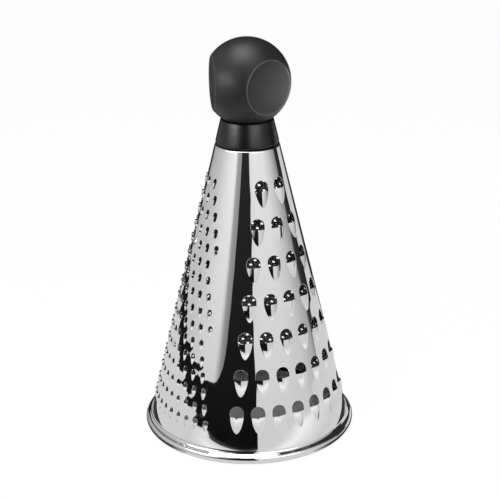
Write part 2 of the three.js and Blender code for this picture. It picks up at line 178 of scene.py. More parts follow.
class Sheet:
    """Sheet metal: points of the outer face, those behind them on the inner face, and triangles."""

    def __init__(self):
        self.columns = [[], [], [], []]
        self.faces = []
        self.count = 0

    def add(self, outer, outer_normal, inner=None, inner_normal=None):
        """Adds points of the outer face and returns their numbers."""
        if inner is None:
            inner = outer - SHEET * outer_normal
            inner_normal = -outer_normal
        for column, values in zip(self.columns, (outer, outer_normal, inner, inner_normal)):
            column.append(values)
        first = self.count
        self.count += len(outer)
        return np.arange(first, self.count)

    def band(self, lower, upper):
        """Fills the strip between two closed rings of as many points."""
        lower_next, upper_next = np.roll(lower, -1), np.roll(upper, -1)
        self.faces.append(np.stack([lower, lower_next, upper_next], -1))
        self.faces.append(np.stack([lower, upper_next, upper], -1))

    def mesh(self, name):
        """Closed mesh of both faces and the cut edges between them."""
        outer, outer_normal, inner, inner_normal = (np.concatenate(column) for column in self.columns)
        front = np.concatenate(self.faces)
        back = front[:, ::-1] + self.count
        # An edge that no other triangle runs along the other way is a cut edge
        edges = np.concatenate([front[:, [0, 1]], front[:, [1, 2]], front[:, [2, 0]]])
        known = {(a, b) for a, b in edges.tolist()}
        cut = np.array([(a, b) for a, b in edges.tolist() if (b, a) not in known])
        start, end = cut[:, 0], cut[:, 1]
        sides = np.concatenate([
            np.stack([end, start, start + self.count], -1),
            np.stack([end, start + self.count, end + self.count], -1),
        ])
        points = np.concatenate([outer, inner])
        corners = points[sides]
        flat = np.cross(corners[:, 1] - corners[:, 0], corners[:, 2] - corners[:, 0])
        flat /= np.linalg.norm(flat, axis=1, keepdims=True) + 1e-12
        normals = np.concatenate([
            outer_normal[front].reshape(-1, 3),
            inner_normal[back - self.count].reshape(-1, 3),
            np.repeat(flat, 3, axis=0),
        ])
        mesh = bpy.data.meshes.new(name)
        mesh.from_pydata((points * MM).tolist(), [], np.concatenate([front, back, sides]).tolist())
        # The inner face takes the second finish, whose dark colour paints the shade inside the cone besides
        # its duller finish
        inside = np.repeat([0, 1, 0], [len(front), len(back), len(sides)])
        mesh.polygons.foreach_set("material_index", inside.astype(np.int32))
        mesh.shade_smooth()
        mesh.normals_split_custom_set(normals.tolist())
        return mesh


class Punch:
    """One punched shape on a flat wall: x round it, y up it and z out of it, in millimetres.
    Its bulge has a height, and a spread round the wall and up it."""

    def __init__(self, width, up, down, bulge=(0.0, 1.0, 1.0)):
        self.half = width / 2
        self.up = up
        self.down = down
        self.bulge = bulge
        self.points = []
        self.normals = []
        self.backs = []
        self.back_normals = []
        self.faces = []
        self.loop = []

    def add(self, point, normal, back=None, back_normal=None):
        """Adds a point with its normal and the point behind it, and returns its number."""
        normal = np.array(normal, float) / np.linalg.norm(normal)
        self.points.append(point)
        self.normals.append(normal)
        self.backs.append(np.array(point) - SHEET * normal if back is None else back)
        self.back_normals.append(-normal if back_normal is None else back_normal)
        return len(self.points) - 1

    def strip(self, outside, inside):
        """Fills the strip between two chains of as many points, the inside one to the left."""
        for a, b, c, d in zip(outside, outside[1:], inside[1:], inside):
            self.faces += [t for t in ((a, b, c), (a, c, d)) if len(set(t)) == 3]

    def place(self, sheet, angle, z):
        """Puts the shape on the wall. Returns its outline's places there and their numbers."""
        def on_wall(local):
            """Angles, heights and places of the shape's points."""
            x, y, raised = np.array(local, float).T
            height = z + y * math.cos(lean)
            turn = angle + x / wall_radius(height)
            foot = around(turn, wall_radius(height), height)
            return turn, height, foot + raised[:, None] * wall_frame(turn)[2]

        def turned(local, turn):
            """Directions of the shape, turned to where they are on the wall."""
            return sum(np.array(local)[:, k, None] * axis for k, axis in enumerate(wall_frame(turn)))

        turn, height, outer = on_wall(self.points)
        back_turn, _, inner = on_wall(self.backs)
        numbers = sheet.add(outer, turned(self.normals, turn), inner, turned(self.back_normals, back_turn))
        sheet.faces.append(numbers[np.array(self.faces)])
        return turn[self.loop], height[self.loop], numbers[self.loop]


def tooth_punch(width, hole, tongue, height, bulge, steps, arch_steps, dome_rings):
    """Grating tooth: an arched hole, and below its straight edge a tongue pressed out of the sheet."""
    punch = Punch(width, hole, tongue, bulge)
    half = punch.half
    blunt, taper = 1.72, 1.4  # exponents of the tongue's rounded, pointed outline
    fillet = 0.07  # share of the height that the rounded foot takes
    crest = 1.28  # exponent of the cross section, between a roof at 1 and a round back at 2
    bow = 0.75  # share of the ridge that follows the outline's width, the rest being straight
    brim = 0.85  # share of the outline at which the narrow rings of the rounded foot end
    turn = np.linspace(math.pi, TURN, steps + 1)
    x = half * np.sign(np.cos(turn)) * np.abs(np.cos(turn)) ** (2 / blunt)
    y = -tongue * np.abs(np.sin(turn)) ** (2 / taper)
    x[0], x[-1], y[0], y[-1] = -half, half, 0.0, 0.0

    def raised(px, py):
        """Height of the tongue over the sheet."""
        along = np.clip(-py / tongue, 0, 1)
        reach = half * np.maximum(1 - along**taper, 1e-9) ** (1 / blunt)
        ridge = bow * reach / half + (1 - bow) * (1 - along)
        body = np.maximum(ridge * (1 - np.abs(px / reach) ** crest), 0)
        return height / (1 - fillet) * np.where(body < 2 * fillet, body**2 / (4 * fillet), body - fillet)

    def normal(px, py):
        """Normal of the tongue, from its slopes across and along."""
        step = 1e-3 * half
        fall = (raised(px + step, py) - raised(px - step, py)) / (2 * step)
        drop = (raised(px, py) - raised(px, py - step)) / step
        return (-fall, -drop, 1)

    shares = [*np.linspace(1, brim, 4), *np.linspace(brim, 0, dome_rings + 1)[1:-1]]
    rings = []
    for share in shares:
        ring = [(share * x[k], share * y[k]) for k in range(steps + 1)]
        rings.append([punch.add((*p, raised(*p)), normal(*p) if share < 1 else (0, 0, 1)) for p in ring])
    peak = punch.add((0, 0, height), (0, 0, 1))
    for outside, inside in zip(rings, rings[1:]):
        punch.strip(outside, inside)
    punch.strip(rings[-1], [peak] * (steps + 1))

    # Rolled-over edge of the hole, from the right corner over the arch to the left one
    stilt = hole - half
    roll = 0.16  # how far the edge rolls over, in millimetres
    upright = np.linspace(0, stilt, 4)[1:-1]
    arc = np.linspace(0, math.pi, arch_steps + 1)
    path = [(half, v, -1, 0) for v in upright]
    path += [(half * math.cos(t), stilt + half * math.sin(t), -math.cos(t), -math.sin(t)) for t in arc]
    path += [(-half, v, 1, 0) for v in upright[::-1]]
    arch = [punch.add((u, v, 0), (0, 0, 1)) for u, v, _, _ in path]
    shoulder = [
        punch.add((u + 0.5 * roll * p, v + 0.5 * roll * q, -0.15 * roll), (0.5 * p, 0.5 * q, 1))
        for u, v, p, q in path
    ]
    lip = [
        punch.add((u + roll * p, v + roll * q, -0.6 * roll), (p, q, 0.6),
                  (u + roll * p, v + roll * q, -SHEET), (0, 0, -1))
        for u, v, p, q in path
    ]
    left, right = rings[0][0], rings[0][-1]
    punch.strip([right, *arch, left], [right, *shoulder, left])
    punch.strip([right, *shoulder, left], [right, *lip, left])
    punch.loop = [*rings[0], *arch]
    return punch


def spike_punch(foot, hole, height):
    """Rasp spike: a hole burst outward into a crown of four points."""
    punch = Punch(2 * foot, foot, foot)
    points, sides = 4, 8
    thinning, flare = 0.3, 0.2  # what the burst takes from the sheet, and how far its back draws in
    turn = np.arange(sides) * TURN / sides
    jagged = np.cos(points * turn)
    rings = []
    # Each ring has its radius, its share of the height, its slope, and the share that its points add
    for radius, raised, fall, peak in (
        (foot, 0.0, 0.0, 0.0),
        (0.72 * foot + 0.28 * hole, 0.18, 1.0, 0.0),
        (hole, 0.8, 2.0, 0.25),
    ):
        lift = height * (raised + peak * jagged)
        thick = SHEET * (1 - thinning * raised)
        back = radius - flare * fall * thick
        rings.append([
            punch.add((radius * math.cos(t), radius * math.sin(t), h),
                      (fall * math.cos(t), fall * math.sin(t), 1),
                      (back * math.cos(t), back * math.sin(t), h - thick))
            for t, h in zip(turn, lift)
        ])
    for outside, inside in zip(rings, rings[1:]):
        punch.strip([*outside, outside[0]], [*inside, inside[0]])
    punch.loop = rings[0]
    return punch


def coarse_count(row):
    """Teeth in a coarse row: one more in each row."""
    return 2 + row


def fine_count(row):
    """Teeth in a fine row: one more in each row, but two fewer where the second and third blocks start."""
    return 4 + row - 2 * min(2, row // FINE_BLOCK)


def rasp_count(row):
    """Spikes in a rasp row: as many as fit, so that each row is staggered against the next."""
    z = steel_height - (RASP_TOP + row * RASP_ROW_PITCH) * math.cos(lean)
    room = wall_radius(z) * TURN / 3 - PLAIN_BAND - 2 * RASP_FOOT
    count = math.floor(room / RASP_PITCH) + 1
    return count - (count + row) % 2


ZONES = [
    {
        "punch": tooth_punch(width=3.2, hole=2.6, tongue=4.2, height=1.1, bulge=(0.09, 2.6, 3.2),
                             steps=16, arch_steps=10, dome_rings=4),
        "angle": math.radians(-120), "shift": -1.5, "pitch": 6.8, "row_pitch": 9.2, "top": 20.0,
        "count": fine_count,
    },
    {
        "punch": tooth_punch(width=8.2, hole=6.2, tongue=9.7, height=1.5, bulge=(0.15, 6.0, 6.5),
                             steps=28, arch_steps=18, dome_rings=7),
        "angle": math.radians(-4.5), "shift": -2.6, "pitch": 12.3, "row_pitch": 21.4, "top": 22.5,
        "count": coarse_count,
    },
    {
        "punch": spike_punch(RASP_FOOT, RASP_HOLE, RASP_RAISE),
        "angle": math.radians(120), "shift": 0.0, "pitch": RASP_PITCH, "row_pitch": RASP_ROW_PITCH,
        "top": RASP_TOP, "count": rasp_count,
    },
]


def punch_zone(sheet, zone):
    """Rows of teeth, as many as fit on the wall. Returns each with its place and its outline there."""
    punch = zone["punch"]
    length = steel_height / math.cos(lean)
    row_count = math.floor((length - zone["top"] - punch.down - FOOT_MARGIN) / zone["row_pitch"]) + 1
    placed = []
    for row in range(row_count):
        z = steel_height - (zone["top"] + row * zone["row_pitch"]) * math.cos(lean)
        count = zone["count"](row)
        for k in range(count):
            offset = zone["shift"] + (k - (count - 1) / 2) * zone["pitch"]
            angle = zone["angle"] + offset / wall_radius(z)
            placed.append((punch, angle, z, punch.place(sheet, angle, z)))
    return placed


def plain_wall(sheet, teeth, foot, top):
    """Plain steel round the teeth between two heights. Returns its lowest and highest rings."""
    angles = np.linspace(-math.pi, math.pi, WALL_SIDES + 1)
    heights = np.linspace(foot, top, WALL_ROWS + 1)
    turn, z = np.meshgrid(angles, heights)
    free = np.ones(turn.shape, bool)
    for punch, angle, height, _ in teeth:
        x = (turn - angle) * wall_radius(z)
        y = (z - height) / math.cos(lean)
        beside = np.abs(x) > punch.half + TOOTH_CLEAR
        free &= beside | (y > punch.up + TOOTH_CLEAR) | (y < -punch.down - TOOTH_CLEAR)
    free[[0, -1], :] = True
    free[:, 0] = True
    free[:, -1] = False  # the last column is the first one again
    numbers = np.full(turn.shape, -1)
    points = around(turn[free], wall_radius(z[free]), z[free])
    numbers[free] = sheet.add(points, wall_frame(turn[free])[2])
    numbers[:, -1] = numbers[:, 0]
    used = numbers >= 0

    # The wall is laid flat, and its grid is joined to the outlines of the teeth there
    flat = np.stack([turn[used] * FLAT_SCALE, z[used] / math.cos(lean)], -1)
    known = numbers[used]
    order = np.full(turn.shape, -1)
    order[used] = np.arange(len(flat))
    rim = [*order[0, :], *order[1:, -1], *order[-1, -2::-1], *order[-2:0:-1, 0]]
    flats, owners, loops = [flat], [known], []
    count = len(flat)
    for _, _, _, (loop_turn, loop_z, loop_numbers) in teeth:
        flats.append(np.stack([loop_turn * FLAT_SCALE, loop_z / math.cos(lean)], -1))
        owners.append(loop_numbers)
        loops.append(list(range(count, count + len(loop_numbers))))
        count += len(loop_numbers)
    flat, owner = np.concatenate(flats), np.concatenate(owners)
    edges = [(int(a), int(b)) for a, b in zip(rim, [*rim[1:], rim[0]])]
    _, _, triangles, sources, _, inside = delaunay_2d_cdt(
        [Vector(p) for p in flat.tolist()], edges, loops, 0, 1e-6, True)
    kept = [[owner[sources[v][0]] for v in t] for t, hole in zip(triangles, inside) if not hole]
    sheet.faces.append(np.array(kept))
    return numbers[0, :-1], numbers[-1, :-1]


def bulge_wall(sheet, teeth):
    """Bulges the sheet slightly round each tooth, as the press leaves it."""
    outer, normal, inner, back = (np.concatenate(column) for column in sheet.columns)
    turn, z = np.arctan2(outer[:, 0], -outer[:, 1]), outer[:, 2]
    lift, fall, climb = np.zeros((3, len(z), 1))
    for punch, angle, height, _ in teeth:
        high, wide, tall = punch.bulge
        x = (np.remainder(turn - angle + math.pi, TURN) - math.pi) * wall_radius(z)
        y = (z - height) / math.cos(lean) + BULGE_DROP * punch.down
        bump = (high * np.exp(-(x / wide) ** 2 - (y / tall) ** 2))[:, None]
        lift += bump
        fall += 2 * x[:, None] / wide**2 * bump
        climb += 2 * y[:, None] / tall**2 * bump
    side, up, out = wall_frame(turn)
    tilt = (fall * side + climb * up) * np.clip((normal * out).sum(1, keepdims=True), 0, 1)
    normal, back = normal + tilt, back - tilt
    sheet.columns = [
        [outer + lift * out],
        [normal / np.linalg.norm(normal, axis=1, keepdims=True)],
        [inner + lift * out],
        [back / np.linalg.norm(back, axis=1, keepdims=True)],
    ]


def rim_section():
    """Rim from the wall's foot: inner corner, bead, the land it stands on and the curled-in edge."""
    bead = np.array([RIM_RADIUS - BEAD_RADIUS, BEAD_RADIUS])
    # The fillet's middle is one fillet out from the wall, and its arc touches the bead
    off = foot_radius + RIM_FILLET / math.cos(lean) - slope * bead[1] - bead[0]
    reach = BEAD_RADIUS + RIM_FILLET
    a = 1 + slope**2
    rise = (slope * off + math.sqrt((slope * off) ** 2 - a * (off**2 - reach**2))) / a
    fillet = bead + np.array([off - slope * rise, rise])
    meet = math.atan2(rise, fillet[0] - bead[0])
    land_end = math.acos(RIM_LAND / 2 / BEAD_RADIUS)
    section = []
    for t in np.linspace(math.pi + lean, math.pi + meet, FILLET_STEPS):
        ray = np.array([math.cos(t), math.sin(t)])
        section.append((fillet + RIM_FILLET * ray, -ray))
    round_bead = np.linspace(meet, -land_end, BEAD_STEPS)[1:]
    curl = np.linspace(-math.pi + land_end, CURL_END, CURL_STEPS)
    for t in [*round_bead, *curl]:
        ray = np.array([math.cos(t), math.sin(t)])
        section.append((bead + BEAD_RADIUS * ray, ray))
    return section


def neck_section():
    """Top of the cone: the bend and the flange to the screw's hole."""
    z = steel_height - NECK_BEND
    centre = np.array([wall_radius(z) - NECK_BEND / math.cos(lean), z])
    section = []
    for t in np.linspace(lean, math.pi / 2, BEND_STEPS):
        ray = np.array([math.cos(t), math.sin(t)])
        section.append((centre + NECK_BEND * ray, ray))
    section.append((np.array([FLANGE_HOLE, steel_height]), np.array([0.0, 1.0])))
    return section


def section_ring(sheet, point, normal):
    """Ring of the sheet through a section's point, both given as radius and height."""
    angles = np.linspace(-math.pi, math.pi, WALL_SIDES + 1)[:-1]
    return sheet.add(around(angles, *point), around(angles, *normal))


def grater_cone():
    """The whole steel piece as one closed mesh."""
    sheet = Sheet()
    teeth = [tooth for zone in ZONES for tooth in punch_zone(sheet, zone)]
    rim, neck = rim_section(), neck_section()
    lowest, highest = plain_wall(sheet, teeth, rim[0][0][1], neck[0][0][1])
    bulge_wall(sheet, teeth)
    for point, normal in rim[1:]:
        ring = section_ring(sheet, point, normal)
        sheet.band(ring, lowest)
        lowest = ring
    for point, normal in neck[1:]:
        ring = section_ring(sheet, point, normal)
        sheet.band(highest, ring)
        highest = ring
    return sheet.mesh("grater_cone_steel")


# Turned and moulded pieces


def rounded(corners, radii, steps=5):
    """Closed outline with its corners rounded by up to a radius each, within the sides beside them."""
    corners = [np.array(corner, float) for corner in corners]
    befores, afters = [corners[-1], *corners[:-1]], [*corners[1:], corners[0]]
    radii = np.broadcast_to(radii, len(corners))
    side_share = 0.45
    outline = []
    for before, corner, after, radius in zip(befores, corners, afters, radii):
        back, ahead = np.linalg.norm(before - corner), np.linalg.norm(after - corner)
        reach = min(radius, side_share * back, side_share * ahead)
        start = corner + reach * (before - corner) / back
        end = corner + reach * (after - corner) / ahead
        for t in np.linspace(0, 1, steps):
            outline.append((1 - t) ** 2 * start + 2 * t * (1 - t) * corner + t**2 * end)
    return outline


def lathe(name, outline, sides, split=0.0):
    """Ring turned from an anticlockwise outline of radius and height pairs. A split of so many radians
    stays open on its +X side."""
    count = len(outline)
    angles = np.linspace(split / 2, TURN - split / 2, sides + 1) + math.pi / 2
    columns = sides + 1 if split else sides
    radius, z = np.array(outline).T
    points = around(angles[:columns, None], radius[None, :], z[None, :]).reshape(-1, 3) * MM
    faces = []
    for k in range(sides):
        a, b = k * count, (k + 1) % columns * count
        faces += [(a + n, b + n, b + (n + 1) % count, a + (n + 1) % count) for n in range(count)]
    if split:
        faces += [list(range(count))[::-1], list(range(sides * count, columns * count))]
    mesh = bpy.data.meshes.new(name)
    mesh.from_pydata(points.tolist(), [], faces)
    mesh.shade_smooth()
    mesh.set_sharp_from_angle(angle=SHARP_ANGLE)
    return mesh


def collar_mesh():
    """Collar between steel and knob: a cone with a rounded foot, a dish for the ball and a bore."""
    low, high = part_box("collar")
    foot, top = low.z / MM, high.z / MM
    ball_radius, ball_z = ball_size()
    bore = SPIGOT_RADIUS + FIT
    dish = ball_radius + FIT
    seat = math.sqrt(dish**2 - (ball_z - top) ** 2)
    steps = 8
    corners = [(bore, foot), (NECK_RADIUS, foot), (COLLAR_TOP_RADIUS, top), (seat, top)]
    outline = rounded(corners, [COLLAR_EDGE, COLLAR_FOOT_EDGE, COLLAR_EDGE, COLLAR_EDGE], steps)
    outline = outline[:-steps]  # the dish starts in place of the last corner
    outline += [(r, ball_z - math.sqrt(dish**2 - r**2)) for r in np.linspace(seat, bore, DISH_STEPS)]
    return lathe("collar_grained", outline, COLLAR_SIDES)


def plug_mesh():
    """Plug that clamps the cone's top from inside: a disc with a boss and a skirt that follows the wall."""
    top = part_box("clamp_plug")[1].z / MM
    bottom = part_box("clamp_plug")[0].z / MM
    disc_foot = top - PLUG_DISC

    def inside(z):
        """Radius that fits inside the wall at a height."""
        return wall_radius(z) - (SHEET + FIT) / math.cos(lean)

    corners = [
        (SCREW_HOLE, top - PLUG_BOSS_DEPTH),
        (PLUG_BOSS_RADIUS, top - PLUG_BOSS_DEPTH),
        (PLUG_BOSS_RADIUS, disc_foot),
        (inside(disc_foot) - PLUG_SKIRT, disc_foot),
        (inside(bottom) - PLUG_SKIRT, bottom),
        (inside(bottom), bottom),
        (inside(top), top),
        (SCREW_HOLE, top),
    ]
    hole_edge, edge, inner_fillet, shoulder = 0.2, 0.4, 0.8, 1.5
    radii = [hole_edge, edge, inner_fillet, inner_fillet, edge, edge, shoulder, hole_edge]
    return lathe("clamp_plug_moulded", rounded(corners, radii), PLUG_SIDES)


def washer_mesh(node_name, split=0.0):
    """Washer with rounded edges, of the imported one's size."""
    low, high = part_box(node_name)
    foot, top, radius = low.z / MM, high.z / MM, high.y / MM
    corners = [(SCREW_HOLE, foot), (radius, foot), (radius, top), (SCREW_HOLE, top)]
    return lathe(node_name + "_plated", rounded(corners, WASHER_EDGE), WASHER_SIDES, split / radius)


def ball_size():
    """Radius and centre height of the ball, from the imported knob."""
    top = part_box("knob_cover")[1].z / MM
    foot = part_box("collar")[1].z / MM - BALL_NEST
    radius = (top - foot) / 2
    return radius, top - radius


def flatted_ball(radius):
    """Ball about the origin with an open foot and finger flats that have rounded edges, in millimetres.
    Returns its points, normals and faces, the points round its foot in order, and the edges' faces."""
    level = radius - FLAT_DEPTH
    low = level - FLAT_EDGE * math.sqrt(radius**2 - level**2) / radius
    wide = math.sqrt(radius**2 - low**2)
    corner = wide - low * (level - low) / wide
    flat_radius = corner - radius * (level - low) / wide
    bend = np.array([(wide, low), (corner, level), (flat_radius, level)])
    ball = bmesh.new()
    bmesh.ops.create_uvsphere(ball, u_segments=BALL_SIDES, v_segments=BALL_ROWS, radius=radius)

    def ring_of_cut(place, direction, turn):
        """Cuts off what lies past a plane and returns the points of the cut in order."""
        made = bmesh.ops.bisect_plane(
            ball, geom=ball.verts[:] + ball.edges[:] + ball.faces[:],
            plane_co=place, plane_no=direction, clear_outer=True)
        ring = [v for v in made["geom_cut"] if isinstance(v, bmesh.types.BMVert)]
        return sorted(ring, key=lambda v: math.atan2(v.co.dot(turn.cross(direction)), v.co.dot(turn)))

    down = Vector((0, 0, -1))
    mouth = SPIGOT_RADIUS + FIT
    foot = ring_of_cut(down * math.sqrt(radius**2 - mouth**2), down, Vector((1, 0, 0)))
    normals, edges = {}, []
    for k in range(FLAT_COUNT):
        axis = Vector(around(KNOB_TURN + k * TURN / FLAT_COUNT, 1.0, 0.0))
        ring = ring_of_cut(axis * low, axis, down)
        spokes = [(v.co - axis * v.co.dot(axis)).normalized() for v in ring]
        for t in np.linspace(0, 1, FLAT_EDGE_STEPS)[1:]:
            across, along = (1 - t) ** 2 * bend[0] + 2 * t * (1 - t) * bend[1] + t**2 * bend[2]
            run, rise = (1 - t) * (bend[1] - bend[0]) + t * (bend[2] - bend[1])
            inner = [ball.verts.new(axis * along + spoke * across) for spoke in spokes]
            for n, spoke in enumerate(spokes):
                normals[inner[n]] = (axis * -run + spoke * rise).normalized()
                edges.append(ball.faces.new((ring[n - 1], inner[n - 1], inner[n], ring[n])))
            ring = inner
        for share in np.linspace(1, 0, FLAT_RINGS)[1:-1]:
            hollow = FLAT_HOLLOW * (1 - share**2)
            centre = axis * (level - hollow)
            inner = [ball.verts.new(centre + spoke * share * flat_radius) for spoke in spokes]
            for n, spoke in enumerate(spokes):
                normals[inner[n]] = (axis - spoke * 2 * FLAT_HOLLOW * share / flat_radius).normalized()
                ball.faces.new((ring[n - 1], inner[n - 1], inner[n], ring[n]))
            ring = inner
        middle = ball.verts.new(axis * (level - FLAT_HOLLOW))
        normals[middle] = axis
        for n in range(len(ring)):
            ball.faces.new((ring[n - 1], middle, ring[n]))
    ball.verts.index_update()
    ball.faces.index_update()
    points = np.array([v.co for v in ball.verts])
    outward = np.array([normals.get(v, v.co.normalized()) for v in ball.verts])
    faces = [[v.index for v in f.verts] for f in ball.faces]
    foot = [v.index for v in foot]
    edges = [f.index for f in edges]
    ball.free()
    return points, outward, faces, foot, edges


def knob_mesh():
    """Soft cover: a hollow ball with finger flats and an open foot, whose edge faces the axis."""
    radius, centre = ball_size()
    points, normals, faces, foot, edges = flatted_ball(radius)
    inner_points, inner_normals, inner_faces, inner_foot, _ = flatted_ball(radius - COVER_WALL)
    first = len(points)
    points = np.concatenate([points, inner_points]) + (0, 0, centre)
    normals = np.concatenate([normals, -inner_normals])
    faces = faces + [[v + first for v in reversed(f)] for f in inner_faces]
    loops = [normals[v] for f in faces for v in f]
    for n in range(len(foot)):
        face = [foot[n - 1], foot[n], inner_foot[n] + first, inner_foot[n - 1] + first]
        faces.append(face)
        loops += [points[v] * (-1, -1, 0) / np.linalg.norm(points[v][:2]) for v in face]
    mesh = bpy.data.meshes.new("knob_cover_soft")
    mesh.from_pydata((points * MM).tolist(), [], faces)
    # The flats' rounded edges take the second finish, whose lighter colour paints a highlight line along
    # them
    for n in edges:
        mesh.polygons[n].material_index = 1
    mesh.shade_smooth()
    mesh.normals_split_custom_set(loops)
    return mesh


# Materials


def material(name):
    """New material, with the function that links its nodes, its shader and a helper that adds nodes."""
    made = bpy.data.materials.new(name)
    made.use_nodes = True
    tree = made.node_tree
    shader = tree.nodes["Principled BSDF"]

    def node(kind, **values):
        """New node with values for its settings or, by their names, its inputs."""
        new = tree.nodes.new(kind)
        for key, value in values.items():
            if hasattr(new, key):
                setattr(new, key, value)
            else:
                new.inputs[key.replace("_", " ")].default_value = value
        return new

    return made, tree.links.new, shader, node


def steel_material():
    """Mirror-polished steel with a faint haze."""
    made, link, shader, node = material("polished_steel")
    shader.inputs["Base Color"].default_value = (0.86, 0.86, 0.87, 1)
    shader.inputs["Metallic"].default_value = 1.0
    place = node("ShaderNodeTexCoord")
    haze = node("ShaderNodeTexNoise", Scale=90.0, Detail=5.0, Roughness=0.6)
    level = node("ShaderNodeMapRange", To_Min=0.012, To_Max=0.04)
    link(place.outputs["Object"], haze.inputs["Vector"])
    link(haze.outputs["Fac"], level.inputs["Value"])
    link(level.outputs["Result"], shader.inputs["Roughness"])
    return made


def metal(name, dark, light, roughness, stretch=(1, 1, 1)):
    """Worked metal with fine streaks: its darkest and lightest colours, its range of roughness, and how
    fine the streaks are along each axis."""
    made, link, shader, node = material(name)
    shader.inputs["Metallic"].default_value = 1.0
    place = node("ShaderNodeTexCoord")
    stretched = node("ShaderNodeMapping")
    stretched.inputs["Scale"].default_value = stretch
    streaks = node("ShaderNodeTexNoise", Scale=700.0, Detail=4.0)
    shade = node("ShaderNodeValToRGB")
    shade.color_ramp.elements[0].color = (*dark, 1)
    shade.color_ramp.elements[1].color = (*light, 1)
    level = node("ShaderNodeMapRange", To_Min=roughness[0], To_Max=roughness[1])
    link(place.outputs["Object"], stretched.inputs["Vector"])
    link(stretched.outputs["Vector"], streaks.inputs["Vector"])
    link(streaks.outputs["Fac"], shade.inputs["Fac"])
    link(shade.outputs["Color"], shader.inputs["Base Color"])
    link(streaks.outputs["Fac"], level.inputs["Value"])
    link(level.outputs["Result"], shader.inputs["Roughness"])
    return made


def moulded(name, dark, light, roughness, shine, grain, depth):
    """Black or grey plastic: its darkest and lightest levels, roughness, reflectance, and the scale and
    strength of its grain."""
    bluish, uneven = 1.03, 0.04
    made, link, shader, node = material(name)
    shader.inputs["Specular IOR Level"].default_value = shine
    place = node("ShaderNodeTexCoord")
    fine = node("ShaderNodeTexNoise", Scale=grain, Detail=3.0)
    bump = node("ShaderNodeBump", Strength=depth, Distance=0.0002)
    tone = node("ShaderNodeTexNoise", Scale=140.0, Detail=5.0)
    shade = node("ShaderNodeValToRGB")
    shade.color_ramp.elements[0].color = (dark, dark, bluish * dark, 1)
    shade.color_ramp.elements[1].color = (light, light, bluish * light, 1)
    level = node("ShaderNodeMapRange", To_Min=roughness - uneven, To_Max=roughness + uneven)
    link(place.outputs["Object"], fine.inputs["Vector"])
    link(place.outputs["Object"], tone.inputs["Vector"])
    link(fine.outputs["Fac"], bump.inputs["Height"])
    link(bump.outputs["Normal"], shader.inputs["Normal"])
    link(tone.outputs["Fac"], shade.inputs["Fac"])
    link(shade.outputs["Color"], shader.inputs["Base Color"])
    link(tone.outputs["Fac"], level.inputs["Value"])
    link(level.outputs["Result"], shader.inputs["Roughness"])
    return made


# Pieces


def piece(mesh, node_name, slot, *finishes):
    """Puts a finished piece in place of a CAD node."""
    made = bpy.data.objects.new(mesh.name, mesh)
    bpy.context.scene.collection.objects.link(made)
    for finish in finishes:
        mesh.materials.append(finish)
    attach(made, BODY)
    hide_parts(node_name)


def carry(node_name, finish):
    """Keeps a CAD node as it is, with a finish and slightly rounded edges."""
    node = frame["nodes"][node_name]
    node.data.materials.clear()
    node.data.materials.append(finish)
    weld = node.modifiers.new("weld", "WELD")
    weld.merge_threshold = WELD_REACH * MM
    edges = node.modifiers.new("edges", "BEVEL")
    edges.width = CARRIED_EDGE * MM
    edges.segments = 2
    edges.limit_method = "ANGLE"


# Studio


def camera():
    """Camera of the photograph: level distance, height and tilts, turned to the photograph's side."""
    yaw, pitch, roll = (math.radians(a) for a in (VIEW_YAW, VIEW_PITCH, VIEW_ROLL))
    forward = Vector((math.sin(yaw) * math.cos(pitch), math.cos(yaw) * math.cos(pitch), -math.sin(pitch)))
    right = Vector((math.cos(yaw), -math.sin(yaw), 0))
    up = right.cross(forward)
    across = right * math.cos(roll) + up * math.sin(roll)
    upward = up * math.cos(roll) - right * math.sin(roll)
    pose = Matrix((across, upward, -forward)).transposed().to_4x4()
    pose.translation = Vector((0, -VIEW_DISTANCE, VIEW_HEIGHT)) * MM
    data = bpy.data.cameras.new("camera")
    data.lens = LENS
    data.sensor_width = SENSOR
    made = bpy.data.objects.new("camera", data)
    made.matrix_world = Matrix.Rotation(math.radians(VIEW_AZIMUTH), 4, "Z") @ pose
    bpy.context.scene.collection.objects.link(made)
    bpy.context.scene.camera = made


def math_node(tree, operation, *values):
    """Result of a new math node. Its values are numbers or results of other nodes."""
    made = tree.nodes.new("ShaderNodeMath")
    made.operation = operation
    for socket, value in zip(made.inputs, values):
        if isinstance(value, bpy.types.NodeSocket):
            tree.links.new(value, socket)
        else:
            socket.default_value = value
    return made.outputs[0]


def seen_level(tree):
    """Node value of the backdrop's glow: white to the camera and through gaps, a little less in
    reflections, and nothing to the light that it gives."""
    ray = tree.nodes.new("ShaderNodeLightPath").outputs
    reflected = math_node(tree, "MULTIPLY", ray["Is Glossy Ray"], REFLECTED_LEVEL)
    direct = math_node(tree, "MAXIMUM", ray["Is Camera Ray"], reflected)
    return math_node(tree, "MAXIMUM", direct, ray["Is Transmission Ray"])


def world():
    """White surroundings, which give a soft light from all sides."""
    made = bpy.data.worlds.new("studio")
    bpy.context.scene.world = made
    made.use_nodes = True
    tree = made.node_tree
    ambient = tree.nodes["Background"]
    ambient.inputs["Color"].default_value = (1, 1, 1, 1)
    strength = math_node(tree, "MAXIMUM", seen_level(tree), AMBIENT)
    tree.links.new(strength, ambient.inputs["Strength"])


